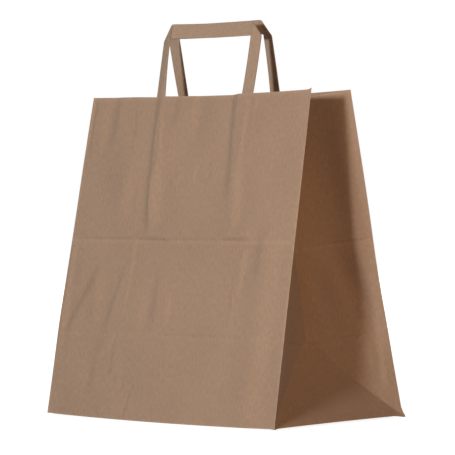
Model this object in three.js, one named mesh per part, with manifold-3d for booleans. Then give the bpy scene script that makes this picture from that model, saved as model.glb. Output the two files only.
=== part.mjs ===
// A brown kraft paper carrier bag with a block bottom and two flat tape handles.
// One folded and glued sheet makes the bag. It stands open, with its mouth half closed.
// Millimetres, +Z up, the front panel towards -Y, the origin on the ground at the middle
// of the bottom.

import * as THREE from 'three';
import { mergeVertices } from 'three/addons/utils/BufferGeometryUtils.js';
import Module from 'manifold-3d';

// The sheet
const paper = 0.18;              // thickness of one layer
const bagWidth = 260;            // front panel between its two folds, at the bottom
const mouthDrawIn = 4;           // how far its soft waves draw each side fold in at the mouth
const bagDepth = 150;            // bottom, from the front fold to the back fold
const panelHeight = 268;         // bottom fold to mouth, along the sloping panel
const mouthGap = 46;             // between the front and back panels at the mouth
const gussetLean = 32;           // degrees that the gusset's lower triangle leans in

// The closed bottom: two flaps with mitred ends, lapped and glued
const flapLap = 24;              // how far the back flap covers the front one
const foldInset = 0.3;           // from the bottom fold to the flat of a flap
const glueDepth = 0.06;          // how deep a glued layer is bonded into the next one

// The lengthwise glued seam in the back panel
const seamMargin = 2;            // from the side fold at the mouth to the inner free edge
const seamLap = 18;              // overlap of the two edges of the sheet

// The handles, folded from flat tape and glued inside the panels
const tapeWidth = 12;
const tapeThickness = 0.7;
const handleRise = 60.5;         // top of the handle above the mouth, along the panel
const glueLength = 50;           // length of leg that the patch holds
const frontHandle = { width: 113, offset: 4 };   // outer width, and place along +X
const backHandle = { width: 118, offset: -9 };

// The patches that cover the legs inside
const patchSideMargin = 31;      // from the side folds at the mouth to a centred patch's ends
const patchMargin = 4;           // patch edge below the mouth
const patchRamp = 1.6;           // width of the step from the panel up onto a leg
const clearance = 0.3;           // between one glued piece and the next

// What follows from the sizes above
const mouthWidth = bagWidth - 2 * mouthDrawIn;
const patchWidth = mouthWidth - 2 * patchSideMargin;
const halfDepth = bagDepth / 2;
const halfMouthGap = mouthGap / 2;
const bottomLevel = 2 * paper;
const panelSlope = Math.asin((halfDepth - halfMouthGap) / panelHeight);
const mouthLevel = bottomLevel + panelHeight * Math.cos(panelSlope);

const wasm = await Module();
wasm.setup();

function paperMaterial(colour, roughness) {
  return new THREE.MeshStandardMaterial({ color: colour, roughness, metalness: 0 });
}

function solidOf(geometry) {
  const plain = geometry.clone();
  plain.deleteAttribute('normal');
  plain.deleteAttribute('uv');
  const merged = mergeVertices(plain, 1e-5);
  return new wasm.Manifold(new wasm.Mesh({
    numProp: 3,
    vertProperties: new Float32Array(merged.attributes.position.array),
    triVerts: new Uint32Array(merged.index.array),
  }));
}

function joined(geometries) {
  const whole = geometries.map(solidOf).reduce((sum, piece) => sum.add(piece));
  const mesh = whole.getMesh();
  const geometry = new THREE.BufferGeometry();
  geometry.setAttribute('position', new THREE.BufferAttribute(mesh.vertProperties, 3));
  geometry.setIndex(new THREE.BufferAttribute(mesh.triVerts, 1));
  geometry.computeVertexNormals();
  return geometry;
}

// A flat outline in the XY plane, raised from one level to another.
function slab(outline, low, high) {
  const shape = new THREE.Shape(outline.map(([x, y]) => new THREE.Vector2(x, y)));
  const geometry = new THREE.ExtrudeGeometry(shape, { depth: high - low, bevelEnabled: false });
  return geometry.translate(0, 0, low);
}

// A section of points [across, out] drawn along Y, the way that a panel runs upwards.
function strip(section, low, high) {
  const shape = new THREE.Shape(section.map(([across, out]) => new THREE.Vector2(across, -out)));
  const geometry = new THREE.ExtrudeGeometry(shape, { depth: high - low, bevelEnabled: false });
  return geometry.rotateX(-Math.PI / 2).translate(0, low, 0);
}

// The place of a sloping panel: X across it, Y up along it, Z out of its outer face.
// turn is 0 for the front panel and PI for the back one.
function onPanel(object, turn) {
  const panel = new THREE.Group();
  panel.position.set(0, -halfDepth, bottomLevel);
  panel.rotation.x = Math.PI / 2 - panelSlope;
  panel.add(object);
  const side = new THREE.Group();
  side.rotation.z = turn;
  side.add(panel);
  return side;
}

// The two points where a gusset's centre crease bends: the apex of its lower triangle, and
// its end at the mouth. The crease keeps its length, and so does the gusset's top edge.
function gussetCrease() {
  const lean = THREE.MathUtils.degToRad(gussetLean);
  const apex = new THREE.Vector2(bagWidth / 2, bottomLevel)
    .add(new THREE.Vector2(-Math.sin(lean), Math.cos(lean)).multiplyScalar(halfDepth));
  const corner = new THREE.Vector2(mouthWidth / 2, mouthLevel);
  const creaseLength = panelHeight - halfDepth;
  const reach = Math.sqrt(halfDepth ** 2 - halfMouthGap ** 2);
  const line = corner.clone().sub(apex);
  const span = line.length();
  const along = (creaseLength ** 2 - reach ** 2 + span ** 2) / (2 * span);
  const aside = Math.sqrt(creaseLength ** 2 - along ** 2);
  line.normalize();
  const mouthEnd = apex.clone().addScaledVector(line, along)
    .add(new THREE.Vector2(-line.y, line.x).multiplyScalar(aside));
  return { apex, mouthEnd };
}

// The outer face of the sheet: corner points, and faces that turn outwards.
function sheetFaces() {
  const { apex, mouthEnd } = gussetCrease();
  const points = [];
  const corner = {};
  for (const [side, sign] of [['left', -1], ['right', 1]]) {
    const add = (x, y, z) => points.push(new THREE.Vector3(sign * x, y, z)) - 1;
    corner[side] = {
      frontFoot: add(bagWidth / 2, -halfDepth, bottomLevel),
      backFoot: add(bagWidth / 2, halfDepth, bottomLevel),
      frontTop: add(mouthWidth / 2, -halfMouthGap, mouthLevel),
      backTop: add(mouthWidth / 2, halfMouthGap, mouthLevel),
      apex: add(apex.x, 0, apex.y),
      creaseTop: add(mouthEnd.x, 0, mouthEnd.y),
    };
  }
  const { left, right } = corner;
  const faces = [
    [left.frontFoot, right.frontFoot, right.frontTop, left.frontTop],
    [right.backFoot, left.backFoot, left.backTop, right.backTop],
    [left.frontFoot, left.backFoot, right.backFoot, right.frontFoot],
  ];
  for (const [side, turned] of [[right, false], [left, true]]) {
    const gusset = [
      [side.frontFoot, side.backFoot, side.apex],
      [side.frontFoot, side.apex, side.frontTop],
      [side.apex, side.creaseTop, side.frontTop],
      [side.backFoot, side.backTop, side.apex],
      [side.apex, side.backTop, side.creaseTop],
    ];
    faces.push(...gusset.map((face) => (turned ? [...face].reverse() : face)));
  }
  return { points, faces };
}

function faceNormal(points, [a, b, c]) {
  const edge = points[b].clone().sub(points[a]);
  return edge.cross(points[c].clone().sub(points[a])).normalize();
}

// The move that takes a corner one paper thickness in from all the faces that meet there,
// as the least squares answer where more than three faces meet.
function inwardMove(normals) {
  const square = [[1e-3, 0, 0], [0, 1e-3, 0], [0, 0, 1e-3]];
  const sum = new THREE.Vector3();
  for (const normal of normals) {
    const n = normal.toArray();
    n.forEach((a, row) => n.forEach((b, column) => { square[row][column] += a * b; }));
    sum.add(normal);
  }
  const matrix = new THREE.Matrix3().set(...square.flat()).invert();
  return sum.applyMatrix3(matrix).multiplyScalar(-paper);
}

// The sheet as a closed solid: its outer face, its inner face and the cut edge at the mouth.
function sheetGeometry() {
  const { points, faces } = sheetFaces();
  const normals = points.map(() => []);
  for (const face of faces) {
    const normal = faceNormal(points, face);
    face.forEach((index) => normals[index].push(normal));
  }
  const inner = points.map((point, index) => point.clone().add(inwardMove(normals[index])));
  const count = points.length;
  const triangles = [];
  const addFace = (face) => {
    for (let i = 2; i < face.length; i += 1) {
      triangles.push([face[0], face[i - 1], face[i]]);
    }
  };
  const edges = new Set();
  for (const face of faces) {
    addFace(face);
    addFace(face.map((index) => index + count).reverse());
    face.forEach((from, i) => edges.add(`${from} ${face[(i + 1) % face.length]}`));
  }
  for (const edge of edges) {
    const [from, to] = edge.split(' ').map(Number);
    if (!edges.has(`${to} ${from}`)) {
      addFace([to, from, from + count, to + count]);
    }
  }
  const geometry = new THREE.BufferGeometry();
  const corners = [...points, ...inner].flatMap((point) => point.toArray());
  geometry.setAttribute('position', new THREE.Float32BufferAttribute(corners, 3));
  geometry.setIndex(triangles.flat());
  return geometry;
}

// A bottom flap between two distances from its fold, with both ends mitred at 45 degrees.
function flap(side, near, far, low, high) {
  const halfWidthAt = (distance) => bagWidth / 2 - distance;
  const outline = [
    [-halfWidthAt(near), side * (halfDepth - near)],
    [halfWidthAt(near), side * (halfDepth - near)],
    [halfWidthAt(far), side * (halfDepth - far)],
    [-halfWidthAt(far), side * (halfDepth - far)],
  ];
  return slab(outline, low, high);
}

function bottomFlaps() {
  const flapLength = halfDepth + flapLap / 2;
  const lapStart = halfDepth - flapLap / 2;
  const bonded = bottomLevel + glueDepth;
  return [
    flap(-1, foldInset, flapLength, paper, bonded),
    flap(1, foldInset, lapStart + foldInset, paper, bonded),
    flap(1, lapStart - foldInset, flapLength, 0, paper + glueDepth),
  ];
}

// The lap of the sheet's two edges: outside it steps up at one edge and fades to the other,
// inside the other way round, so the lap is two layers thick all over.
function seamStrips() {
  const end = mouthWidth / 2 - seamMargin;
  const start = end - seamLap;
  const outside = [[start, -glueDepth], [start, paper], [end, 0], [end, -glueDepth]];
  const inside = [[start, -paper + glueDepth], [start, -paper], [end, -2 * paper],
    [end, -paper + glueDepth]];
  return [outside, inside].map((section) => {
    const mesh = new THREE.Mesh(strip(section, foldInset, panelHeight - foldInset));
    onPanel(mesh, Math.PI).updateMatrixWorld(true);
    return mesh.geometry.applyMatrix4(mesh.matrixWorld);
  });
}

function bagBody() {
  const geometry = joined([sheetGeometry(), ...bottomFlaps(), ...seamStrips()]);
  const mesh = new THREE.Mesh(geometry, paperMaterial(0xa0846e, 0.9));
  mesh.name = 'bag_body';
  return mesh;
}

// A handle in the panel's own place. Each leg folds over at 45 degrees into the grip, so the
// grip lies one tape thickness further in than the legs.
function handle(name, width) {
  const top = panelHeight + handleRise;
  const gripLow = top - tapeWidth;
  const legLow = panelHeight - patchMargin - glueLength;
  const legOuter = -(paper + clearance);
  const legInner = legOuter - tapeThickness;
  const half = width / 2;
  const legs = [-1, 1].map((side) => slab([
    [side * half, legLow],
    [side * (half - tapeWidth), legLow],
    [side * (half - tapeWidth), top],
    [side * half, gripLow],
  ], legInner, legOuter));
  const grip = slab([
    [-half, gripLow],
    [half, gripLow],
    [half - tapeWidth, top],
    [-half + tapeWidth, top],
  ], legInner - tapeThickness, legInner + glueDepth);
  const mesh = new THREE.Mesh(joined([grip, ...legs]), paperMaterial(0xb0967f, 0.85));
  mesh.name = name;
  return mesh;
}

// The patch follows the panel and steps over each leg.
function patch(name, width) {
  const flat = -(paper + clearance);
  const raised = flat - tapeThickness - clearance;
  const halfLeg = tapeWidth / 2 + clearance;
  const path = [[-patchWidth / 2, flat]];
  for (const side of [-1, 1]) {
    const leg = side * (width - tapeWidth) / 2;
    path.push([leg - halfLeg - patchRamp, flat], [leg - halfLeg, raised],
      [leg + halfLeg, raised], [leg + halfLeg + patchRamp, flat]);
  }
  path.push([patchWidth / 2, flat]);
  const section = [...path, ...path.map(([across, out]) => [across, out - paper]).reverse()];
  const high = panelHeight - patchMargin;
  const mesh = new THREE.Mesh(strip(section, high - glueLength, high),
    paperMaterial(0x9c7f66, 0.9));
  mesh.name = name;
  return mesh;
}

function handleSet(side, { width, offset }, turn) {
  const set = new THREE.Group();
  set.add(handle(`${side}_handle`, width), patch(`${side}_handle_patch`, width));
  set.position.x = offset * Math.cos(turn);
  return onPanel(set, turn);
}

const bag = new THREE.Group();
bag.add(
  bagBody(),
  handleSet('front', frontHandle, 0),
  handleSet('back', backHandle, Math.PI),
);

export default bag;
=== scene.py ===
"""A brown kraft paper carrier bag with flat tape handles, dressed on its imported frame.

The bag is folded from a flat blank, as the real one is: the blank is made as a grid, scored along
its folds, trimmed, folded into place and given the thickness of the paper. The handles are folded
from flat tape in the same way. Lengths are in metres, with +Z up and the front panel towards -Y.
Places of creases and waves are given in millimetres, across a panel and up it.
"""

import logging
import math
from abc import ABC, abstractmethod
from dataclasses import dataclass, field
from enum import Enum

import bmesh
import bpy
import numpy as np
from mathutils import Matrix, Vector

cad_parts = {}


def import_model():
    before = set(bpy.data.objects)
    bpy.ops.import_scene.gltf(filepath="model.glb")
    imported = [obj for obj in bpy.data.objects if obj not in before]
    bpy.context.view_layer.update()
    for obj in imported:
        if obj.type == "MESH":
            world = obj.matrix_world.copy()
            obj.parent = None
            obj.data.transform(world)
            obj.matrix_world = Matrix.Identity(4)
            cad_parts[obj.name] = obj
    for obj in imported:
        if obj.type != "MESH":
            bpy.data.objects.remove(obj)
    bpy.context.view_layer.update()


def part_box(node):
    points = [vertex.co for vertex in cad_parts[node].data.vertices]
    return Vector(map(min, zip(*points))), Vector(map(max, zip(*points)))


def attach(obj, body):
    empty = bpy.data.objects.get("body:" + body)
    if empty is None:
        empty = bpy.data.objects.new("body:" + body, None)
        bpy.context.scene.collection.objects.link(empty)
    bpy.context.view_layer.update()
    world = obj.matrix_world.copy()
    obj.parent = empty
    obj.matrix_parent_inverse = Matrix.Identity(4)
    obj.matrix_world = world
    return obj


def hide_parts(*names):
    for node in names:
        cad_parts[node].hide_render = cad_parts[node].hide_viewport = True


Array = np.ndarray
Pair = tuple[float, float]
Triple = tuple[float, float, float]
Mesh = bmesh.types.BMesh
Tree = bpy.types.NodeTree
Socket = bpy.types.NodeSocket

LOG = logging.getLogger("paper_bag")
MM = 0.001
FACE_REACH = 2.2 * MM
WELD = 0.01 * MM
NOISE_RANGE = (0.3, 0.7)
SEEN_BY = ("Camera", "Glossy", "Transmission")
FLAT = "flat"


def hump(place: Array, centre: float | Array, reach: float) -> Array:
    """Gives a soft hump of height 1 around a centre."""
    return np.exp(-(((place - centre) / reach) ** 2))


def ease(part: Array) -> Array:
    """Turns a part, kept between 0 and 1, into one that starts and ends softly."""
    part = np.clip(part, 0, 1)
    return part * part * (3 - 2 * part)


class Side(Enum):
    """The two large panels, with the sign of their place along Y."""

    FRONT = -1
    BACK = 1


class Bend(ABC):
    """A soft change in the paper's height, at places across a panel and up it."""

    @abstractmethod
    def height(self, across: Array, up: Array) -> Array:
        """Gives the outward height at places on the sheet, all in millimetres."""


@dataclass(frozen=True)
class Streak(Bend):
    """A soft step in the paper along a straight line.

    The sheet rises, outwards, from the left of the line to the right of it, seen from outside
    with the line running from start to end. It sinks back slowly on both sides.
    """

    start: Pair
    end: Pair
    rise: float
    width: float
    reach: float = 4.0

    def height(self, across: Array, up: Array) -> Array:
        """Gives the step's height, in millimetres.

        Args:
            across: Places across the panel.
            up: Places up it.

        Returns:
            The outward heights.
        """
        run = np.subtract(self.end, self.start)
        length = math.hypot(*run)
        along_x, along_y = run / length
        from_x = across - self.start[0]
        from_y = up - self.start[1]
        along = from_x * along_x + from_y * along_y
        aside = (from_x * along_y - from_y * along_x) / self.width
        fade = max(0.12 * length, 1.2 * self.width)
        ends = 0.25 * (1 + np.tanh(along / fade)) * (1 + np.tanh((length - along) / fade))
        return self.rise * 0.5 * np.tanh(aside) * hump(aside, 0, self.reach) * ends


def streaks(*rows: tuple[float, ...]) -> tuple[Streak, ...]:
    """Makes streaks from rows: the start, the end, the rise, the width and, if given, the reach."""
    return tuple(Streak(row[:2], row[2:4], *row[4:]) for row in rows)


@dataclass(frozen=True)
class Swell(Bend):
    """A soft oval bump or dent in the paper."""

    centre: Pair
    radii: Pair
    rise: float
    turn: float = 0.0

    def height(self, across: Array, up: Array) -> Array:
        """Gives the bump's height, in millimetres.

        Args:
            across: Places across the panel.
            up: Places up it.

        Returns:
            The outward heights.
        """
        cosine, sine = math.cos(math.radians(self.turn)), math.sin(math.radians(self.turn))
        from_x = across - self.centre[0]
        from_y = up - self.centre[1]
        first = (from_x * cosine + from_y * sine) / self.radii[0]
        second = (from_y * cosine - from_x * sine) / self.radii[1]
        return self.rise * np.exp(-(first**2) - second**2)


@dataclass(frozen=True)
class Relief:
    """The broad waves and the fine marks of one face of the bag, which its inner pieces share."""

    waves: tuple[Bend, ...]
    marks: tuple[Bend, ...]
    mark_gain: float = 3.0

    def height(self, across: Array, up: Array) -> Array:
        """Adds up the heights of waves and marks, with places and heights in metres.

        Args:
            across: Places across the panel.
            up: Places up it.

        Returns:
            The outward heights.
        """
        total = np.zeros(np.broadcast(across, up).shape)
        for parts, gain in ((self.waves, 1.0), (self.marks, self.mark_gain)):
            for part in parts:
                total += gain * part.height(across / MM, up / MM)
        return total * MM


@dataclass(frozen=True)
class Profile:
    """A line of heights through named places, a little rounded at each of them."""

    places: tuple[float, ...]
    heights: tuple[float, ...]
    softness: float = 0.8

    def at(self, across: Array) -> Array:
        """Reads the line's rounded heights, in metres, at places given in metres."""
        near = across[..., None] / MM + self.softness * np.array([-1.0, 0.0, 1.0])
        return np.interp(near, self.places, self.heights).mean(-1) * MM


@dataclass(frozen=True)
class BagShape:
    """The folded bag as plain surfaces, before any crease or wave.

    Places on a panel are given across it, from its middle, and up it, from the bottom fold.
    Places on a gusset are given from its nearer side fold towards its centre crease.
    A bow is a level, how far it reaches up and down, and how far it stands out.
    """

    width: float
    depth: float
    mouth_level: float
    panel_height: float = 268 * MM
    mouth_gap: float = 46 * MM
    mouth_draw_in: float = 4 * MM
    gusset_lean: float = math.radians(32)
    paper: float = 0.18 * MM
    flap_lap: float = 24 * MM
    raised: float = 1.2 * MM
    sag_height: float = 60 * MM
    side_lift: float = 0.3 * MM
    belly: float = 3.5 * MM
    belly_height: float = 85 * MM
    corner_draw: float = 1.5 * MM
    draw_start: float = 185 * MM
    mouth_dip: float = 1.2 * MM
    back_mouth_dip: float = 2.0 * MM
    end_reach: float = 14 * MM
    triangle_layers: float = 1.6
    front_spread: Triple = (200 * MM, 120 * MM, 1.5 * MM)
    front_bow: Triple = (75 * MM, 35 * MM, 0.9 * MM)
    back_bows: tuple[Triple, ...] = ((0.0, 30 * MM, 1.0 * MM), (122 * MM, 42 * MM, -1.3 * MM))

    @property
    def half_width(self) -> float:
        """Half the width of a panel at the bottom."""
        return self.width / 2

    @property
    def half_depth(self) -> float:
        """Half the depth of the bottom."""
        return self.depth / 2

    @property
    def foot_level(self) -> float:
        """The level of the bottom fold: two layers of paper above the ground."""
        return 2 * self.paper

    @property
    def slope(self) -> float:
        """The angle by which a panel leans inwards."""
        return math.asin((self.half_depth - self.mouth_gap / 2) / self.panel_height)

    @property
    def flap_length(self) -> float:
        """How far a bottom flap reaches from its fold."""
        return self.half_depth + self.flap_lap / 2

    def crease_ends(self) -> tuple[Array, Array]:
        """Works out where the centre crease of a gusset starts and ends.

        The crease keeps its length, and so does the top edge of the gusset.

        Returns:
            The apex over the right gusset's lower triangle, and the crease's end at the mouth.
        """
        lean = np.array([-math.sin(self.gusset_lean), 0, math.cos(self.gusset_lean)])
        apex = np.array([self.half_width, 0, self.foot_level]) + lean * self.half_depth
        corner = np.array([self.half_width - self.mouth_draw_in, 0, self.mouth_level])
        crease = self.panel_height - self.half_depth
        reach = math.sqrt(self.half_depth**2 - (self.mouth_gap / 2) ** 2)
        line = corner - apex
        span = float(np.linalg.norm(line))
        line = line / span
        along = (crease**2 - reach**2 + span**2) / (2 * span)
        aside = math.sqrt(crease**2 - along**2)
        return apex, apex + line * along + np.array([-line[2], 0, line[0]]) * aside

    def across_at(self, x: Array, up: Array) -> Array:
        """Turns places along X into places across a panel, which narrows towards the mouth."""
        part = np.clip(up / self.panel_height, 0, 1)
        return x / (1 - self.mouth_draw_in / self.half_width * part)

    def settle(self, x: Array, y: Array, up: Array) -> Array:
        """Gives how high the paper stands above its place on a flat-bottomed bag.

        The corners of the bottom are stiff and stand up. The long edges and the flaps between
        them sag to the ground, and the short edges arch up a little.

        Args:
            x: Places along the width.
            y: Places along the depth.
            up: Distances up the sheet.

        Returns:
            The heights to add.
        """
        middle = np.clip(1 - (x / self.half_width) ** 2, 0, 1)
        fade = hump(np.clip(up, 0, None), 0, self.sag_height)
        near_end = hump(np.abs(x), self.half_width, self.end_reach)
        arch = self.side_lift * np.clip(1 - (y / self.half_depth) ** 2, 0, 1) * near_end
        return self.raised - self.raised * middle**0.7 * fade + arch * fade

    def draw(self, side: Side, across: Array, up: Array) -> Array:
        """Gives how far the front panel leans in beside its left fold, near the mouth.

        Args:
            side: Which panel.
            across: Places across it.
            up: Distances up it.

        Returns:
            The distances, which are nothing for the back panel.
        """
        climb = (up - self.draw_start) / (self.panel_height - self.draw_start)
        turn = np.sin(np.clip(across / self.half_width, -1, 1) * math.pi / 2)
        near = self.corner_draw if side is Side.FRONT else 0.0
        return near * np.clip(climb, 0, 1) ** 1.5 * 0.5 * (1 - turn)

    def dip(self, side: Side, across: Array, up: Array) -> Array:
        """Gives how far the mouth's edge sinks between the side folds, most of all at the right.

        Args:
            side: Which panel.
            across: Places across it.
            up: Distances up it.

        Returns:
            The distances down.
        """
        part = np.clip(across / self.half_width, -1, 1)
        climb = np.clip(up / self.panel_height, 0, 1)
        deep = self.mouth_dip if side is Side.FRONT else self.back_mouth_dip
        return deep * (1 - part**2) * (1 + 0.4 * part) * climb**2

    def bulge(self, across: Array, up: Array) -> Array:
        """Gives how far a large panel bellies out, most of all near the bottom.

        Args:
            across: Places across it.
            up: Distances up it.

        Returns:
            The distances outwards.
        """
        span = np.clip(1 - (across / self.half_width) ** 2, 0, 1) ** 1.5
        flap = np.clip(1 + up / self.half_depth, 0, 1)
        return self.belly * span * hump(np.clip(up, 0, None), 0, self.belly_height) * flap

    def fold_bow(self, end: float | Array, side: Side, up: Array) -> Array:
        """Gives how far a side fold bows: the front left one and the back right one do.

        Args:
            end: Anything left of the middle or right of it, below or above nothing.
            side: The panel beside the fold.
            up: Distances up the fold.

        Returns:
            The distances along X.
        """
        if side is Side.FRONT:
            top, fade, spread = self.front_spread
            level, reach, far = self.front_bow
            out = (spread + far * hump(up, level, reach)) * ease((top - up) / fade)
        else:
            out = sum(far * hump(up, level, reach) for level, reach, far in self.back_bows)
        return np.where(side.value * np.asarray(end) > 0, side.value * out, 0.0)

    def panel(self, side: Side, across: Array, up: Array) -> Array:
        """Places points of a panel, and of the bottom flap below it.

        Args:
            side: Which panel.
            across: Places along X at the bottom.
            up: Distances from the bottom fold, below nothing on the flap.

        Returns:
            The points, one row each.
        """
        rise = np.clip(up, 0, None)
        part = rise / self.panel_height
        inset = np.clip(-up, 0, None)
        x = across * (1 - self.mouth_draw_in / self.half_width * part)
        x = x + self.fold_bow(across, side, rise) * np.clip(across / self.half_width, -1, 1) ** 4
        y = self.half_depth - rise * math.sin(self.slope) - inset + self.bulge(across, up)
        y = y - self.draw(side, across, rise)
        lapped = (side is Side.BACK) & (inset > self.half_depth - self.flap_lap / 2)
        flap_z = np.where(lapped, 0.0, self.paper)
        z = np.where(up > 0, self.foot_level + rise * math.cos(self.slope), flap_z)
        z = z + self.settle(x, y, up) - self.dip(side, across, rise)
        return np.stack([x, side.value * y, z], -1)

    def beside_panel(self, side: Side, x: Array, up: Array, out: Array) -> Array:
        """Places points beside a panel or straight above it.

        Args:
            side: Which panel.
            x: Places along X.
            up: Distances from the bottom fold.
            out: Distances outwards from the panel's outer face.

        Returns:
            The points, one row each.
        """
        y = self.half_depth - up * math.sin(self.slope) + out * math.cos(self.slope)
        z = self.foot_level + up * math.cos(self.slope) + out * math.sin(self.slope)
        across = self.across_at(x, up)
        y = y - self.draw(side, across, up)
        z = z + self.raised - self.dip(side, across, up)
        return np.stack([x, side.value * y, z], -1)

    def gusset(self, end: int, side: Side, inward: Array, up: Array) -> Array:
        """Places points of one half of a gusset, and of the bottom triangle below it.

        Args:
            end: -1 for the left gusset and 1 for the right one.
            side: The panel that this half is folded to.
            inward: Distances from that panel's side fold.
            up: Distances up the sheet.

        Returns:
            The points, one row each.
        """
        apex, crease_top = self.crease_ends()
        part = inward / self.half_depth
        rest = (up - inward) / (self.panel_height - inward)
        fold_x = self.half_width - self.mouth_draw_in * rest
        fold_x = fold_x + end * self.fold_bow(end, side, self.panel_height * rest)
        fold_y = self.half_depth - self.panel_height * rest * math.sin(self.slope)
        fold_y = fold_y - self.draw(side, end * self.half_width, self.panel_height * rest)
        fold_z = self.foot_level + self.panel_height * rest * math.cos(self.slope)
        fold = np.stack([fold_x, fold_y, fold_z], -1)
        crease = apex + (crease_top - apex) * rest[..., None]
        upper = fold + (crease - fold) * part[..., None]
        lean_x, lean_z = math.sin(self.gusset_lean), math.cos(self.gusset_lean)
        climb = np.clip(up, 0, None)
        flat = np.clip(-up, 0, None)
        corner_x = self.half_width + end * self.fold_bow(end, side, 0 * up) * (1 - part)
        flat_z = self.triangle_layers * self.paper
        lower_z = np.where(up > 0, self.foot_level + climb * lean_z, flat_z)
        lower = [corner_x - climb * lean_x - flat, self.half_depth - inward, lower_z]
        place = np.where((up > inward)[..., None], upper, np.stack(lower, -1))
        place = place * np.array([end, side.value, 1])
        place[..., 2] += self.settle(place[..., 0], place[..., 1], up)
        return place


@dataclass(frozen=True)
class Strip:
    """One stretch of the blank, from one fold or edge to the next, which stiffens it nearby.

    A stretch of a panel has a side, and a place where the panel's middle lies or would lie.
    A gusset has an end of the bag: -1 for the left one and 1 for the right one.
    """

    start: float
    width: float
    columns: int
    stiff: float
    side: Side | None
    middle: float
    gusset: int

    @property
    def end(self) -> float:
        """Where the stretch ends along the blank."""
        return self.start + self.width

    def across(self, run: Array) -> Array:
        """Turns distances along the stretch into places across its panel."""
        return -self.side.value * (run - self.middle)


@dataclass(frozen=True)
class DogEar:
    """A corner of the folded paper that is pulled out a little."""

    corner: Triple
    pull: Triple
    radius: float


def grid(bm: Mesh, low: Pair, high: Pair, columns: int, rows: int) -> None:
    """Adds a flat grid to a bmesh.

    Args:
        bm: The mesh to add to.
        low: The lowest corner in X and Y.
        high: The highest corner in X and Y.
        columns: How many faces along X.
        rows: How many faces along Y.
    """
    size = Matrix.Diagonal((high[0] - low[0], high[1] - low[1], 1, 1))
    centre = Vector(((low[0] + high[0]) / 2, (low[1] + high[1]) / 2, 0))
    place = Matrix.Translation(centre) @ size
    bmesh.ops.create_grid(bm, x_segments=columns, y_segments=rows, size=0.5, matrix=place)


def score(bm: Mesh, start: Pair, end: Pair, offsets: tuple[float, ...] = (0.0,)) -> None:
    """Cuts a flat mesh's faces along a line and along lines beside it.

    Args:
        bm: The flat mesh.
        start: Where the line starts.
        end: Where it ends.
        offsets: The distances of the cuts from the line.
    """
    first, last = Vector((*start, 0)), Vector((*end, 0))
    along = (last - first).normalized()
    aside = Vector((-along.y, along.x, 0))
    for offset in offsets:
        margin = abs(offset) + FACE_REACH
        low = Vector(map(min, first, last)) - Vector((margin, margin, 0))
        high = Vector(map(max, first, last)) + Vector((margin, margin, 0))
        parts = set()
        for face in bm.faces:
            centre = face.calc_center_median()
            if low.x < centre.x < high.x and low.y < centre.y < high.y:
                parts.add(face)
                parts.update(face.edges)
                parts.update(face.verts)
        point = first + aside * offset
        bmesh.ops.bisect_plane(bm, geom=list(parts), dist=WELD, plane_co=point, plane_no=aside)


def shape_flat_mesh(bm: Mesh, place: Array) -> None:
    """Keeps a flat mesh's places, in metres, as its UV map and moves its vertices.

    Args:
        bm: The flat mesh.
        place: The folded place of each vertex, one row each.
    """
    layer = bm.loops.layers.uv.new(FLAT)
    for face in bm.faces:
        for loop in face.loops:
            loop[layer].uv = (loop.vert.co.x, loop.vert.co.y)
    for vert, point in zip(bm.verts, place):
        vert.co = point


def flat_places(bm: Mesh) -> Array:
    """Reads the places of a flat mesh's vertices, one row each."""
    return np.array([vert.co[:2] for vert in bm.verts])


def rims(bm: Mesh) -> list[bmesh.types.BMEdge]:
    """Finds the edges along the cut rims of a thick sheet."""
    square = math.radians(70)
    return [edge for edge in bm.edges if edge.is_manifold and edge.calc_face_angle() > square]


def thicken(bm: Mesh, thickness: float) -> None:
    """Gives a sheet its thickness, inwards from its outer face, and crisp rims.

    Args:
        bm: The sheet, with its UV map.
        thickness: Its thickness.
    """
    bmesh.ops.triangulate(bm, faces=[face for face in bm.faces if len(face.verts) > 4])
    bm.normal_update()
    outer = list(bm.verts)
    rim = [edge.link_loops[0] for edge in bm.edges if edge.is_boundary]
    made = bmesh.ops.duplicate(bm, geom=bm.verts[:] + bm.edges[:] + bm.faces[:])
    inner = made["vert_map"]
    for vert in outer:
        inner[vert].co = vert.co - vert.normal * thickness
    backs = [item for item in made["geom"] if isinstance(item, bmesh.types.BMFace)]
    bmesh.ops.reverse_faces(bm, faces=backs)
    layer = bm.loops.layers.uv.active
    for loop in rim:
        first, last = loop.vert, loop.link_loop_next.vert
        places = [loop.link_loop_next[layer].uv.copy(), loop[layer].uv.copy()]
        face = bm.faces.new((last, first, inner[first], inner[last]))
        for corner, place in zip(face.loops, places + places[::-1]):
            corner[layer].uv = place
    bm.normal_update()
    for face in bm.faces:
        face.smooth = True
    for edge in rims(bm):
        edge.smooth = False


def line_panel(bm: Mesh, place: Array, side: Side, thickness: float) -> None:
    """Makes a flat mesh into a layer inside a panel, which faces outwards.

    Args:
        bm: The flat mesh.
        place: The place of each vertex beside the panel.
        side: Which panel.
        thickness: The layer's thickness.
    """
    shape_flat_mesh(bm, place)
    if side is Side.BACK:
        bmesh.ops.reverse_faces(bm, faces=bm.faces)
    thicken(bm, thickness)


def new_object(name: str, bm: Mesh) -> bpy.types.Object:
    """Turns a finished bmesh into an object at the origin.

    Args:
        name: The object's name.
        bm: The mesh, which is freed.

    Returns:
        The new object, linked to the scene.
    """
    mesh = bpy.data.meshes.new(name)
    bm.to_mesh(mesh)
    bm.free()
    piece = bpy.data.objects.new(name, mesh)
    bpy.context.scene.collection.objects.link(piece)
    return piece


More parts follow.
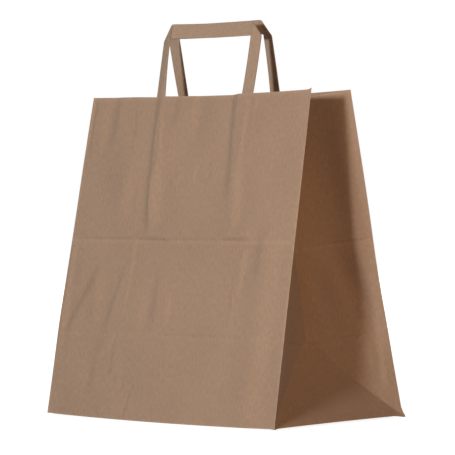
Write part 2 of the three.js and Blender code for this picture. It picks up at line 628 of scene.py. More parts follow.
@dataclass
class PaperSheet:
    """The folded and glued sheet of the bag."""

    shape: BagShape
    reliefs: dict[Side, Relief]
    gusset_relief: Relief
    dog_ears: tuple[DogEar, ...]
    seam_margin: float = 2 * MM
    seam_lap: float = 18 * MM
    fold_radius: float = 0.9 * MM
    stiff_panel: float = 3 * MM
    stiff_gusset: float = 13 * MM
    # Each level crease, with how dark its line is painted as shade; a painted highlight lies just
    # below it.
    creases: tuple[Pair, ...] = ((70.5 * MM, 0.45), (148.3 * MM, 0.9))
    fold_cuts: tuple[float, ...] = (-1.35 * MM, -0.63 * MM, 0.63 * MM, 1.35 * MM)
    crease_cuts: tuple[float, ...] = (-1.6 * MM, -0.8 * MM, 0.0, 0.8 * MM, 1.6 * MM)
    probe: float = 0.6 * MM
    foot_fade: float = 4 * MM
    lap_layers: float = 1.15
    # How wide the painted crease shade, the painted highlights and the fold wear reach.
    wear_and_shade_reach: float = 1.17 * MM
    lower_rows: int = 21
    upper_rows: int = 54
    strips: list[Strip] = field(default_factory=list)

    def lay_out(self) -> None:
        """Lists the blank's stretches: the seam's lap, a gusset, the front, a gusset, the back."""
        half, depth = self.shape.half_width, self.shape.depth
        outer = self.seam_lap + self.seam_margin + self.shape.mouth_draw_in
        inner = 2 * half - outer + self.seam_lap
        start = 0.0
        for width, columns, *rest in (
            (outer, 8, self.stiff_panel, Side.BACK, outer - half, 0),
            (depth, 44, self.stiff_gusset, None, 0.0, -1),
            (2 * half, 180, self.stiff_panel, Side.FRONT, half, 0),
            (depth, 84, self.stiff_gusset, None, 0.0, 1),
            (inner, 70, self.stiff_panel, Side.BACK, half, 0),
        ):
            self.strips.append(Strip(start, width, columns, *rest))
            start += width

    def blank(self) -> Mesh:
        """Makes the flat blank as one grid, with its bottom flaps still square.

        Returns:
            The blank, with distances along it on X and up it on Y.
        """
        bm = bmesh.new()
        half = self.shape.half_depth
        bands = (
            (-self.shape.flap_length, -half, 4),
            (-half, 0.0, self.lower_rows),
            (0.0, half, self.lower_rows),
            (half, self.shape.panel_height, self.upper_rows),
        )
        for strip in self.strips:
            for low, high, rows in bands:
                grid(bm, (strip.start, low), (strip.end, high), strip.columns, rows)
        bmesh.ops.remove_doubles(bm, verts=bm.verts, dist=WELD)
        return bm

    def score_folds(self, bm: Mesh) -> None:
        """Cuts the blank along its folds, creases and flap edges.

        Args:
            bm: The blank.
        """
        half, high = self.shape.half_depth, self.shape.panel_height
        reach = self.shape.flap_length
        lap, left, front, right, back = self.strips
        for strip in self.strips[1:]:
            score(bm, (strip.start, 0), (strip.start, high), self.fold_cuts)
        for strip in (left, right):
            middle = strip.start + half
            score(bm, (middle, half), (middle, high), self.fold_cuts)
            for base in (strip.start, strip.end):
                score(bm, (base, 0), (middle, half), (0.0, *self.fold_cuts))
                score(bm, (base, 0), (middle, -half))
        for start, turn in ((front.start, 1), (front.end, -1), (back.start, 1)):
            score(bm, (start, 0), (start + turn * reach, -reach))
        score(bm, (lap.end, 0), (0, -lap.end))

    def score_creases(self, bm: Mesh) -> None:
        """Cuts the blank finely beside the bottom fold and the level creases.

        Args:
            bm: The trimmed blank.
        """
        end = self.strips[-1].end
        score(bm, (0, 0), (end, 0), self.fold_cuts)
        for level, _ in self.creases:
            score(bm, (0, level), (end, level), self.crease_cuts)

    def from_folds(self, strip: Strip, run: Array | float) -> Array | float:
        """Gives how far places on a stretch are from its nearer fold, not counting cut ends.

        Args:
            strip: The stretch.
            run: Distances along it.

        Returns:
            The distances.
        """
        from_start = run if strip is not self.strips[0] else strip.width
        from_end = strip.width - run if strip is not self.strips[-1] else strip.width
        return np.minimum(from_start, from_end)

    def trim(self, bm: Mesh) -> None:
        """Removes what lies outside the mitred flaps below the bottom fold.

        Args:
            bm: The blank.
        """
        waste = []
        for face in bm.faces:
            centre = face.calc_center_median()
            strip = next(strip for strip in self.strips if centre.x < strip.end)
            if -centre.y >= self.from_folds(strip, centre.x - strip.start):
                waste.append(face)
        bmesh.ops.delete(bm, geom=waste, context="FACES")

    def fold(self, flat: Array) -> Array:
        """Places points of the blank on the folded bag, with sharp folds.

        Args:
            flat: Places along the blank and up it, one row each.

        Returns:
            The points, one row each.
        """
        along, up = flat.T
        depth = self.shape.half_depth
        place = np.zeros(along.shape + (3,))
        for strip in self.strips:
            inside = (along >= strip.start) | (strip is self.strips[0])
            inside &= (along < strip.end) | (strip is self.strips[-1])
            run, rise = (along - strip.start)[inside], up[inside]
            if strip.side:
                place[inside] = self.shape.panel(strip.side, strip.across(run), rise)
                continue
            end = strip.gusset
            first = self.shape.gusset(end, Side(-end), run, rise)
            second = self.shape.gusset(end, Side(end), 2 * depth - run, rise)
            place[inside] = np.where((run <= depth)[..., None], first, second)
        return place

    def rounded(self, flat: Array) -> Array:
        """Places points of the blank on the folded bag, with folds of a small radius.

        Args:
            flat: Places along the blank and up it, one row each.

        Returns:
            The points, one row each.
        """
        near = self.fold_radius
        total = 2 * self.fold(flat)
        for step in ((-near, 0.0), (near, 0.0), (0.0, -near), (0.0, near)):
            total += self.fold(flat + step)
        return total / 6

    def normals(self, flat: Array) -> Array:
        """Works out the outward normals of the folded sheet.

        Args:
            flat: Places along the blank and up it, one row each.

        Returns:
            The normals, one row each.
        """
        runs = []
        for step in np.eye(2) * self.probe:
            runs.append(self.rounded(flat + step) - self.rounded(flat - step))
        normal = np.cross(*runs)
        return normal / np.linalg.norm(normal, axis=-1, keepdims=True)

    def heights(self, flat: Array) -> Array:
        """Gives the outward heights of creases, waves and the glued lap.

        Args:
            flat: Places along the blank and up it, one row each.

        Returns:
            The heights, in a column.
        """
        along, up = flat.T
        climb = np.clip(up, 0, None)
        total = np.zeros_like(along)
        for strip in self.strips:
            run = along - strip.start
            if strip.side:
                rise = self.reliefs[strip.side].height(strip.across(run), climb)
            else:
                from_front = strip.width - run if strip.gusset < 0 else run
                rise = self.gusset_relief.height(from_front, climb)
            edge = ease(self.from_folds(strip, run) / strip.stiff)
            inside = (run >= 0) & (run < strip.width)
            total = np.where(inside, rise * edge * np.clip(up / self.foot_fade, 0, 1), total)
        lap = np.clip((self.strips[0].width - along) / (2 * self.seam_margin), 0, 1)
        return (total + self.lap_layers * self.shape.paper * lap)[:, None]

    def paint_wear_and_shade(self, flat: Array) -> Array:
        """Gives the paper's wear and painted light. The level creases are painted dark as shade,
        and pale just below as a painted highlight; folds are pale, partly from wear and partly as a
        painted highlight.

        Args:
            flat: Places along the blank and up it, one row each.

        Returns:
            The tone, from -1 where crease shade is painted dark to 1 where it is pale from rubbing
            and painted highlights.
        """
        along, up = flat.T
        reach, half = self.wear_and_shade_reach, self.shape.half_depth
        # The bottom fold, the mouth edge, the side folds and the gusset creases are made pale:
        # partly rubbed wear, partly a painted highlight where the folds catch the light.
        wear_and_shade = hump(up, 0, reach)
        # Each level crease is painted dark along its line as shade, and pale just below it as a
        # painted highlight.
        for level, crease_shade in self.creases:
            below = (level - up) / reach
            wear_and_shade -= crease_shade * (hump(below, 0, 1) - 0.6 * hump(below, 1.5, 1))
        wear_and_shade = np.maximum(wear_and_shade, hump(up, self.shape.panel_height, reach))
        for strip in self.strips[1:]:
            wear_and_shade = np.maximum(wear_and_shade, hump(along, strip.start, reach))
            if not strip.side:
                inward = half - np.abs(along - strip.start - half)
                inner = np.where(up > half, hump(inward, half, reach), hump(inward, up, reach))
                wear_and_shade = np.maximum(wear_and_shade, 0.3 * inner)
        return wear_and_shade

    def pull_corners(self, place: Array) -> Array:
        """Pulls the corners of the folded sheet out, as handling does.

        Args:
            place: The folded places, one row each.

        Returns:
            The places after it.
        """
        for ear in self.dog_ears:
            away = np.linalg.norm(place - np.array(ear.corner), axis=-1, keepdims=True)
            place = place + hump(away, 0, ear.radius) * np.array(ear.pull)
        return place

    def build(self) -> bpy.types.Object:
        """Folds the blank and gives it its thickness.

        Returns:
            The finished sheet as an object.
        """
        self.lay_out()
        bm = self.blank()
        self.score_folds(bm)
        self.trim(bm)
        self.score_creases(bm)
        flat = flat_places(bm)
        place = self.rounded(flat) + self.normals(flat) * self.heights(flat)
        shape_flat_mesh(bm, self.pull_corners(place))
        thicken(bm, self.shape.paper)
        # This float layer holds rubbed fold wear together with painted shade at the creases and
        # painted highlights below them and along the folds.
        layer, wear_and_shade_mark = bm.loops.layers.uv[FLAT], bm.verts.layers.float.new("wear_and_shade_mark")
        flat = np.array([vert.link_loops[0][layer].uv[:] for vert in bm.verts])
        for vert, wear_and_shade in zip(bm.verts, self.paint_wear_and_shade(flat)):
            vert[wear_and_shade_mark] = wear_and_shade
        return new_object("bag_sheet", bm)


@dataclass(frozen=True)
class Handle:
    """A handle of flat tape: two legs glued inside a panel, folded over into a level grip.

    Each fold is at 45 degrees, so the grip lies one thickness of tape behind the legs.
    """

    name: str
    side: Side
    shape: BagShape
    relief: Relief
    left: float
    right: float
    grip_profile: Profile
    lift: float
    tape_width: float = 12 * MM
    thickness: float = 0.7 * MM
    rise: float = 60.5 * MM
    glued: float = 50 * MM
    patch_margin: float = 4 * MM
    clearance: float = 0.3 * MM
    layer_gap: float = 0.12 * MM
    edge_round: float = 0.2 * MM
    rows: int = 184

    @property
    def foot(self) -> float:
        """Where the legs end, up the panel from the bottom fold."""
        return self.shape.panel_height - self.patch_margin - self.glued

    @property
    def leg_length(self) -> float:
        """The length of a leg along the middle of the tape, up to its fold."""
        return self.shape.panel_height + self.rise - self.tape_width / 2 - self.foot

    @property
    def grip_length(self) -> float:
        """The length of the grip along the middle of the tape, between its folds."""
        return self.right - self.left - self.tape_width

    @property
    def fold_radius(self) -> float:
        """The radius of the outside of a fold, which is the face that is modelled first."""
        return self.thickness + self.layer_gap / 2

    def turn_over(self, beyond: Array) -> tuple[Array, Array]:
        """Folds the tape flat back on itself at a fold line.

        Args:
            beyond: Distances beyond the fold line along the flat tape.

        Returns:
            The folded distances beyond the fold line, and the depths behind the first layer.
        """
        radius = self.fold_radius
        arc = math.pi * radius / 2
        angle = np.clip(beyond / radius + math.pi / 2, 0, math.pi)
        bent = radius * np.sin(angle) - arc
        place = np.where(beyond < -arc, beyond, np.where(beyond > arc, -beyond, bent))
        return place, radius * (1 - np.cos(angle))

    def lie(self, aside: Array, along: Array) -> Array:
        """Places points of the flat tape in the plane of the handle.

        Args:
            aside: Distances from the tape's middle line.
            along: Distances along it from the left leg's foot.

        Returns:
            Rows of places along X, up the panel, and behind the outer layer.
        """
        diagonal = math.sqrt(0.5)
        half = self.tape_width / 2
        corners = []
        for corner_x, turn, past in (
            (self.left + half, 1, along - self.leg_length),
            (self.right - half, -1, along - self.leg_length - self.grip_length),
        ):
            slide = (aside + turn * past) * diagonal
            folded, depth = self.turn_over((past - turn * aside) * diagonal)
            x = corner_x + turn * (slide - folded) * diagonal
            up = self.foot + self.leg_length + (slide + folded) * diagonal
            corners.append(np.stack([x, up, depth]))
        first, second = corners
        second[2] = 2 * self.fold_radius - second[2]
        return np.where(past > -self.grip_length / 2, second, first)

    def bend(self, x: Array, up: Array) -> Array:
        """Gives how far the handle stands out of the panel's plane.

        Args:
            x: Places along X.
            up: Distances up the panel's plane.

        Returns:
            The distances outwards, of waves and twists together.
        """
        mouth = self.shape.panel_height
        part = np.clip((up - mouth) / (self.rise - self.tape_width), 0, 1)
        part = part * (2 - part)
        level = np.minimum(up, mouth)
        glued = self.relief.height(self.shape.across_at(x, level), level)
        return glued * (1 - part) + self.grip_profile.at(x) * part

    def lay_flat(self, row: Array, aside: Array) -> Array:
        """Places the mesh's rows along the flat tape, slanting with the folds near them.

        Args:
            row: Row numbers.
            aside: Distances from the tape's middle line.

        Returns:
            Distances along the tape from the left leg's foot.
        """
        first = self.leg_length
        second = first + self.grip_length
        bend = math.pi * self.fold_radius / math.sqrt(2)
        clear = 1.2 * self.tape_width
        stations = [(0, 0.0, 0.0)]
        for middle, corner, slant in ((62, first, 1.0), (122, second, -1.0)):
            for more, off, part in ((-12, -clear, 0), (-4, -bend, 1), (4, bend, 1), (12, clear, 0)):
                stations.append((middle + more, corner + off, slant * part))
        stations.append((self.rows, second + first, 0.0))
        rows, places, slants = zip(*stations)
        return np.interp(row, rows, places) + aside * np.interp(row, rows, slants)

    def build(self) -> bpy.types.Object:
        """Folds the tape and gives it its thickness.

        Returns:
            The finished handle as an object.
        """
        half = self.tape_width / 2
        bm = bmesh.new()
        grid(bm, (-half, 0), (half, self.rows), 8, self.rows)
        aside, row = flat_places(bm).T
        along = self.lay_flat(row, aside)
        for vert, place in zip(bm.verts, along):
            vert.co.y = place
        x, up, depth = self.lie(aside, along)
        up = up + self.lift
        inside = self.shape.paper + self.clearance + depth
        place = self.shape.beside_panel(self.side, x, up, self.bend(x, up) - inside)
        line_panel(bm, place, self.side, self.thickness)
        finish = {"segments": 2, "profile": 0.5, "affect": "EDGES", "clamp_overlap": True}
        bmesh.ops.bevel(bm, geom=rims(bm), offset=self.edge_round, material=-1, **finish)
        for edge in bm.edges:
            edge.smooth = True
        for face in bm.faces:
            face.smooth = True
        return new_object(self.name, bm)


@dataclass(frozen=True)
class Patch:
    """A strip of paper glued inside a panel, over the two legs of its handle."""

    name: str
    handle: Handle
    side_margin: float = 31 * MM
    ramp: float = 2.2 * MM

    def build(self) -> bpy.types.Object:
        """Shapes the patch over the legs and gives it its thickness.

        Returns:
            The finished patch as an object.
        """
        handle, shape = self.handle, self.handle.shape
        centre = (handle.left + handle.right) / 2
        half = shape.half_width - shape.mouth_draw_in - self.side_margin
        low = handle.foot
        high = shape.panel_height - handle.patch_margin
        bm = bmesh.new()
        grid(bm, (centre - half, low), (centre + half, high), 128, 20)
        legs = (handle.left + handle.tape_width / 2, handle.right - handle.tape_width / 2)
        reach = handle.tape_width / 2 + handle.clearance
        cuts = tuple(part * self.ramp for part in (-0.6, -0.3, 0.0, 0.3, 0.6))
        for leg in legs:
            for turn in (-1, 1):
                step = leg + turn * (reach + self.ramp / 2)
                score(bm, (step, low - MM), (step, high + MM), cuts)
        x, up = flat_places(bm).T
        over = np.zeros_like(x)
        for leg in legs:
            away = (np.abs(x - leg) - reach) / self.ramp
            over = np.maximum(over, ease(1 - away))
        inside = shape.paper + handle.clearance + over * (handle.thickness + handle.clearance)
        wave = handle.relief.height(shape.across_at(x, up), up)
        place = shape.beside_panel(handle.side, x, up, wave - inside)
        line_panel(bm, place, handle.side, shape.paper)
        return new_object(self.name, bm)


def feed(node: bpy.types.Node, inputs: dict[str | int, object]) -> None:
    """Sets inputs of a node, or joins them to the outputs of other nodes.

    Args:
        node: The node.
        inputs: A value or an output for each input, by name or number.
    """
    for key, value in inputs.items():
        if isinstance(value, Socket):
            node.id_data.links.new(value, node.inputs[key])
        else:
            node.inputs[key].default_value = value


def add_node(
    tree: Tree, kind: str, inputs: dict[str | int, object], **settings: str
) -> bpy.types.Node:
    """Adds a node to a node tree.

    Args:
        tree: The node tree.
        kind: The node's type.
        inputs: A value or an output of another node for each input, by name or number.
        settings: The node's own settings.

    Returns:
        The node.
    """
    node = tree.nodes.new(f"ShaderNode{kind}")
    for name, value in settings.items():
        setattr(node, name, value)
    feed(node, inputs)
    return node


def ramp(value: Socket, taken: Pair, given: Pair) -> Socket:
    """Turns one range of a value into another, and stays inside it.

    Args:
        value: The value.
        taken: The range that it is read in.
        given: The range that it is turned into.

    Returns:
        The new value.
    """
    names = ("Value", "From Min", "From Max", "To Min", "To Max")
    inputs = dict(zip(names, (value, *taken, *given)))
    return add_node(value.id_data, "MapRange", inputs).outputs["Result"]


def combine(operation: str, values: list[Socket]) -> Socket:
    """Adds, multiplies or compares values, one after the other.

    Args:
        operation: The Math node's operation.
        values: The values.

    Returns:
        The last result.
    """
    total = values[0]
    for value in values[1:]:
        node = add_node(total.id_data, "Math", {0: total, 1: value}, operation=operation)
        total = node.outputs[0]
    return total


@dataclass(frozen=True)
class Kraft:
    """Uncoated brown kraft paper: long fibres up the sheet, mottling, dark specks, folds rubbed
    pale and partly given a painted highlight, and creases painted dark as shade.
    """

    name: str
    colour: Triple
    roughness: float = 0.82
    specular: float = 0.2
    fibres: float = 0.10
    mottle: float = 0.07
    clouds: float = 0.03
    specks: float = 0.12
    speck_range: Pair = (0.66, 0.74)
    # How far the paper darkens at creases as painted shade, and lightens below them and at folds,
    # partly as wear and partly as a painted highlight.
    wear_and_shade: float = 0.14
    tooth: float = 0.05 * MM
    tooth_strength: float = 0.35

    def noise(self, tree: Tree, size: Pair, detail: float) -> Socket:
        """Adds a noise in the flat paper's own coordinates.

        Args:
            tree: The material's node tree.
            size: The size of its grains across and up the sheet.
            detail: How many finer layers it has.

        Returns:
            The noise's value, around a half.
        """
        paper = add_node(tree, "UVMap", {}, uv_map=FLAT).outputs["UV"]
        scale = (1 / size[0], 1 / size[1], 1)
        mapping = add_node(tree, "Mapping", {"Vector": paper, "Scale": scale})
        inputs = {"Vector": mapping.outputs["Vector"], "Scale": 1.0, "Detail": detail}
        return add_node(tree, "TexNoise", inputs).outputs["Fac"]

    def vary(self, noise: Socket, part: float) -> Socket:
        """Turns a noise into a factor around 1, which varies by a part up and down."""
        return ramp(noise, NOISE_RANGE, (1 - part, 1 + part))

    def material(self) -> bpy.types.Material:
        """Makes the paper's material.

        Returns:
            The material.
        """
        material = bpy.data.materials.new(self.name)
        material.use_nodes = True
        tree = material.node_tree
        fibres = self.noise(tree, (0.4 * MM, 6 * MM), 2.0)
        mottle = self.noise(tree, (2.2 * MM, 3.6 * MM), 3.0)
        clouds = self.noise(tree, (30 * MM, 60 * MM), 2.0)
        specks = self.noise(tree, (0.8 * MM, 2.5 * MM), 1.0)
        wear_and_shade_mark = add_node(tree, "Attribute", {}, attribute_name="wear_and_shade_mark").outputs["Fac"]
        factors = [
            self.vary(fibres, self.fibres),
            self.vary(mottle, self.mottle),
            self.vary(clouds, self.clouds),
            ramp(specks, self.speck_range, (1, 1 - self.specks)),
            # Painted shade darkens the level creases and a painted highlight lightens just below
            # them; folds are lighter, partly from rubbed wear and partly as a painted highlight.
            ramp(wear_and_shade_mark, (-1, 1), (1 - self.wear_and_shade, 1 + self.wear_and_shade)),
        ]
        light = combine("MULTIPLY", factors)
        tint = add_node(tree, "VectorMath", {0: self.colour, "Scale": light}, operation="SCALE")
        tooth = {"Strength": self.tooth_strength, "Distance": self.tooth}
        tooth["Height"] = combine("ADD", [fibres, mottle])
        rough = (self.roughness - 0.06, self.roughness + 0.08)
        finish = {
            "Base Color": tint.outputs["Vector"],
            "Roughness": ramp(mottle, NOISE_RANGE, rough),
            "Specular IOR Level": self.specular,
            "Normal": add_node(tree, "Bump", tooth).outputs["Normal"],
        }
        feed(tree.nodes["Principled BSDF"], finish)
        return material


@dataclass(frozen=True)
class Lamp:
    """A soft round lamp, aimed at the middle of the bag."""

    name: str
    azimuth: float
    elevation: float
    strength: float
    colour: Triple
    distance: float
    size: float


@dataclass
class Studio:
    """The camera, the floor, the lamps and the world."""

    aim: Triple = (9.07 * MM, 0.0, 154.9 * MM)
    azimuth: float = 44.373
    elevation: float = 1.167
    roll: float = -0.821
    distance: float = 2342.9 * MM
    lens: float = 226.5
    sensor: float = 36.0
    lamp_aim: Triple = (0.0, 0.0, 150 * MM)
    lamps: tuple[Lamp, ...] = (
        Lamp("window", 9.6, 10.0, 0.72, (0.95, 1.01, 1.05), 2.2, 0.26),
        Lamp("fill", 64.0, 15.0, 0.33, (1.0, 0.64, 0.38), 1.3, 0.65),
        Lamp("back", 208.0, 24.0, 0.6, (1.0, 1.0, 1.0), 3.0, 1.4),
    )
    sky_strength: float = 0.02
    floor_colour: Triple = (0.42, 0.42, 0.42)
    floor_glow: float = 0.9
    floor_fade: Pair = (0.4, 1.6)
    floor_half: float = 6.0

    def looking(self, aim: Triple, azimuth: float, elevation: float, distance: float) -> Matrix:
        """Places something that looks at the bag.

        Args:
            aim: The point that it looks at.
            azimuth: How far to the right of the front it stands.
            elevation: How far above the ground it stands, as an angle.
            distance: How far from the point it stands.

        Returns:
            Its place and turn.
        """
        turn, tilt = math.radians(azimuth), math.radians(elevation)
        flat = math.cos(tilt)
        view = Vector((math.sin(turn) * flat, -math.cos(turn) * flat, math.sin(tilt)))
        turned = view.to_track_quat("Z", "Y").to_matrix().to_4x4()
        return Matrix.Translation(Vector(aim) + view * distance) @ turned

    def camera(self) -> None:
        """Makes the scene's camera."""
        data = bpy.data.cameras.new("camera")
        data.sensor_width = self.sensor
        data.lens = self.lens
        data.clip_end = 50
        camera = bpy.data.objects.new("camera", data)
        roll = Matrix.Rotation(math.radians(self.roll), 4, "Z")
        place = self.looking(self.aim, self.azimuth, self.elevation, self.distance)
        camera.matrix_world = place @ roll
        bpy.context.scene.collection.objects.link(camera)
        bpy.context.scene.camera = camera

    def light(self) -> None:
        """Makes the lamps."""
        for lamp in self.lamps:
            data = bpy.data.lights.new(lamp.name, "AREA")
            data.shape = "DISK"
            data.size = lamp.size
            data.energy = lamp.strength * (math.pi * lamp.distance) ** 2
            data.color = lamp.colour
            piece = bpy.data.objects.new(lamp.name, data)
            place = (self.lamp_aim, lamp.azimuth, lamp.elevation, lamp.distance)
            piece.matrix_world = self.looking(*place)
            bpy.context.scene.collection.objects.link(piece)

    def seen(self, tree: Tree) -> Socket:
        """Gives 1 where a surface is seen straight, mirrored or through glass, in a node tree."""
        rays = add_node(tree, "LightPath", {}).outputs
        return combine("MAXIMUM", [rays[f"Is {kind} Ray"] for kind in SEEN_BY])

    def floor(self) -> None:
        """Makes the pale floor, which is white where it is seen and keeps the bag's shadow."""
        bm = bmesh.new()
        bmesh.ops.create_grid(bm, x_segments=1, y_segments=1, size=self.floor_half)
        floor = new_object("floor", bm)
        material = bpy.data.materials.new("floor")
        material.use_nodes = True
        tree = material.node_tree
        shader = tree.nodes["Principled BSDF"]
        colour = (*self.floor_colour, 1)
        feed(shader, {"Base Color": colour, "Roughness": 0.9, "Specular IOR Level": 0.0})
        place = add_node(tree, "TexCoord", {}).outputs["Object"]
        away = add_node(tree, "VectorMath", {0: place}, operation="LENGTH").outputs["Value"]
        fade = ramp(away, self.floor_fade, (self.floor_glow, 1.0))
        strength = combine("MULTIPLY", [self.seen(tree), fade])
        glow = add_node(tree, "Emission", {"Strength": strength})
        both = add_node(tree, "AddShader", {0: shader.outputs[0], 1: glow.outputs[0]})
        feed(tree.nodes["Material Output"], {"Surface": both.outputs[0]})
        floor.data.materials.append(material)

    def sky(self) -> None:
        """Makes the world, which gives a faint light and is white where it is seen."""
        world = bpy.data.worlds.new("world")
        bpy.context.scene.world = world
        world.use_nodes = True
        tree = world.node_tree
        faint = tree.nodes["Background"]
        feed(faint, {"Color": (1, 1, 1, 1), "Strength": self.sky_strength})
        white = add_node(tree, "Background", {"Color": (1, 1, 1, 1), "Strength": 1.0})
        parts = {0: self.seen(tree), 1: faint.outputs[0], 2: white.outputs[0]}
        mix = add_node(tree, "MixShader", parts)
        feed(tree.nodes["World Output"], {"Surface": mix.outputs[0]})


FRONT_WAVES = (
    Streak((-43, 160), (-49, 282), 4.4, 5.0, 5.0),
    Streak((49, 190), (41, 282), 3.6, 3.8, 6.0),
    Streak((-88, 165), (-86, 290), 2.4, 16.0, 2.5),
    Swell((5, 300), (80, 62), -4.2),
    Swell((70, 205), (36, 60), 1.2),
    Swell((112, 90), (30, 70), 1.6),
)
FRONT_MARKS = streaks(
    (-47, 215, -51, 266, 0.3, 1.5),
    (-40, 160, -47, 215, 0.9, 2.4),
    (-41, 212, -45, 250, -0.35, 0.9),
    (-40, 205, -39, 214, 0.3, 1.2),
    (-33, 205, -42, 262, -0.5, 1.4),
    (-30, 165, -34, 205, -1.0, 5.0, 3.0),
    (45, 225, 38, 266, 0.35, 1.8),
    (60, 205, 60, 258, -0.45, 1.2),
    (62, 160, 61, 200, -0.9, 4.0, 3.0),
    (69, 255, 69, 266, -0.3, 1.2),
    (-98, 235, -98, 266, 0.8, 4.5, 2.5),
    (-110, 225, -112, 262, -0.7, 3.0, 3.0),
    (-125, 225, -124, 264, 0.5, 1.6, 3.0),
    (-72, 220, -72, 258, 0.25, 2.0),
    (-25, 246, -25, 268, 0.8, 4.5, 3.0),
    (-1, 235, -5, 266, -0.9, 4.5, 3.0),
    (-4, 199, -4, 207, 0.25, 1.0),
    (-2, 205, -15, 192, 0.3, 1.2),
    (8, 195, 8, 210, -0.3, 1.6),
    (25, 195, 25, 212, 0.25, 2.0),
    (-60, 176, -60, 192, 0.3, 2.0),
    (-70, 165, -70, 205, -0.6, 4.0, 3.0),
    (-50, 148.5, -122, 148.5, 0.7, 1.5),
    (-36, 148, -50, 148.5, 0.6, 1.4),
    (-14, 148, -36, 148, 0.9, 1.5),
    (45, 148.5, -14, 148, 0.5, 1.4),
    (78, 148.5, 49, 148.5, 0.9, 1.5),
    (-51, 120, -52, 145, -0.4, 0.9),
    (-54, 95, -51, 120, -0.35, 0.9),
    (76, 105, 78, 140, -0.45, 1.8),
    (48, 70.5, -6, 70.5, 0.4, 1.0),
    (80, 70.5, 48, 70.5, 0.25, 1.0),
    (-75, 71, -85, 71, 0.14, 0.6),
    (-120, 72, -95, 118, 0.9, 3.5, 3.0),
    (-85, 80, -85, 118, -0.9, 5.0, 2.5),
    (-75, 75, -62, 120, 0.5, 2.5, 3.0),
    (-124, 60, -124, 140, -0.6, 2.2, 3.0),
    (-33, 75, -33, 95, -0.4, 2.5),
    (-2, 80, -2, 102, -0.5, 2.5),
    (-20, 75, -20, 117, 0.7, 4.0, 3.0),
    (-25, 72, -25, 95, 0.2, 0.8),
    (67, 80, 67, 112, 0.25, 0.9),
    (-75, 48, -62, 68, -0.5, 1.8),
    (-60, 38, -60, 57, 0.35, 1.6),
    (-82, 24, -82, 42, 0.6, 4.0, 2.5),
    (-47, 28, -47, 42, -0.35, 1.6),
    (-37, 2, -32, 21, 0.5, 0.9),
    (-63, 2, -63, 11, -0.2, 1.0),
    (-5, 4, -5, 12, 0.25, 1.0),
    (3, 40, -2, 60, 0.14, 0.6),
    (9, 50, 8, 65, 0.14, 0.6),
    (105, 5, 111, 147, -1.4, 9.0, 2.5),
    (93, 122, 93, 152, 0.8, 5.0, 2.5),
    (79, 45, 79, 60, 0.18, 1.2),
    (120, 45, 120, 60, 0.18, 1.2),
    (70, 20, 70, 35, 0.18, 1.2),
)
BACK_WAVES = (
    Streak((44, 170), (45.4, 282), -2.4, 5.0, 5.0),
    Streak((-62, 180), (-64, 282), -1.0, 6.0, 5.0),
)
BACK_MARKS = streaks(
    (-120, 148.5, 120, 148.5, -0.4, 0.9),
    (-90, 70.5, 60, 70.5, -0.25, 0.6),
    (-44, 208, -46, 262, 0.4, 1.5),
    (64, 206, 62, 262, 0.4, 1.5),
    (90, 60, 70, 130, -0.8, 4.0, 3.0),
    (-40, 20, -60, 100, 0.8, 5.0, 3.0),
    (10, 80, 0, 140, -0.6, 4.0, 3.0),
)
RELIEFS = {
    Side.FRONT: Relief(FRONT_WAVES, FRONT_MARKS),
    Side.BACK: Relief(BACK_WAVES, BACK_MARKS),
}

GUSSET_RELIEF = Relief(
    waves=(
        Swell((75, 128), (38, 58), 5.0),
        Swell((92, 112), (17, 46), 9.0),
        Swell((117, 114), (55, 20), -8.5, 124.0),
        Swell((137, 170), (11, 75), 3.2),
        Swell((108, 200), (24, 60), -4.0),
        Swell((33, 114), (50, 14), -2.0, 56.0),
    ),
    marks=streaks(
        (150, 148, 0, 148, 0.5, 1.0),
        (147, 71, 104, 71, -0.5, 0.8),
        (104, 71, 4, 71, 0.2, 0.8),
        (134, 83, 126, 90, 0.9, 2.0),
        (130, 45, 128, 62, 0.6, 3.0),
        (140, 30, 141, 60, 0.5, 2.0),
    ),
)

FRONT_GRIP = Profile(
    (-70, -56, -52.5, -40.5, -38.5, -20, 5, 30, 46, 60.5, 75),
    (-4.4, -4.1, -3.0, 2.4, 1.6, -0.4, -2.5, -2.4, -2.4, -2.3, -2.2),
)
BACK_GRIP = Profile(
    (-80, -68, -56, -20, 10, 36, 38, 50, 60),
    (-0.5, -0.6, -0.2, -0.2, 1.6, 3.3, 3.4, -0.2, -0.5),
)

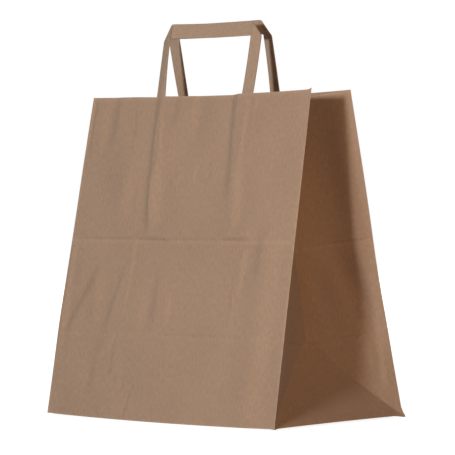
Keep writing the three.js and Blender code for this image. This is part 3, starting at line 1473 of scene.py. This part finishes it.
DOG_EARS = (
    DogEar((130 * MM, 75 * MM, 0.4 * MM), (2.6 * MM, 1.4 * MM, -1.1 * MM), 4.5 * MM),
    DogEar((130 * MM, -75 * MM, 0.4 * MM), (1.0 * MM, -0.6 * MM, -0.6 * MM), 3.5 * MM),
    DogEar((126 * MM, -23 * MM, 264.4 * MM), (0.2 * MM, 0.0, 1.0 * MM), 3.0 * MM),
)


@dataclass(frozen=True)
class PaperBag:
    """The whole bag: its sheet, its two handles and their patches."""

    shape: BagShape

    def dress(self, piece: bpy.types.Object, finish: Kraft, node: str) -> None:
        """Gives a finished piece its material and its place in the frame.

        Args:
            piece: The piece.
            finish: Its paper, which has the name of its slot.
            node: The node that it stands for.
        """
        piece.data.materials.append(finish.material())
        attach(piece, "root")
        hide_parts(node)
        triangles = sum(len(face.vertices) - 2 for face in piece.data.polygons)
        LOG.info("%s: %d triangles", piece.name, triangles)

    def build(self) -> None:
        """Builds and dresses all five pieces."""
        sheet = PaperSheet(self.shape, RELIEFS, GUSSET_RELIEF, DOG_EARS)
        self.dress(sheet.build(), Kraft("kraft_sheet", (0.352, 0.231, 0.156)), "bag_body")
        sets = (
            ("front", Side.FRONT, (-52.5 * MM, 60.5 * MM), FRONT_GRIP, 0.0),
            ("back", Side.BACK, (-68 * MM, 50 * MM), BACK_GRIP, 1.6 * MM),
        )
        tape = Kraft("handle_tape", (0.372, 0.25, 0.172))
        lining = Kraft("patch_paper", (0.33, 0.215, 0.145))
        for name, side, (left, right), profile, lift in sets:
            handle = Handle(
                f"{name}_tape_handle", side, self.shape, RELIEFS[side], left, right, profile, lift
            )
            self.dress(handle.build(), tape, f"{name}_handle")
            patch = Patch(f"{name}_glued_patch", handle)
            self.dress(patch.build(), lining, f"{name}_handle_patch")


def main() -> None:
    """Builds the bag, its handles, the studio and the camera."""
    logging.basicConfig(level=logging.INFO, format="%(message)s")
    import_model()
    body_low, body_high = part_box("bag_body")
    shape = BagShape(body_high.x - body_low.x, -2 * body_low.y, body_high.z)
    PaperBag(shape).build()
    studio = Studio()
    studio.camera()
    studio.floor()
    studio.light()
    studio.sky()
    bpy.context.scene.view_settings.view_transform = "Standard"


if __name__ == "__main__":
    main()
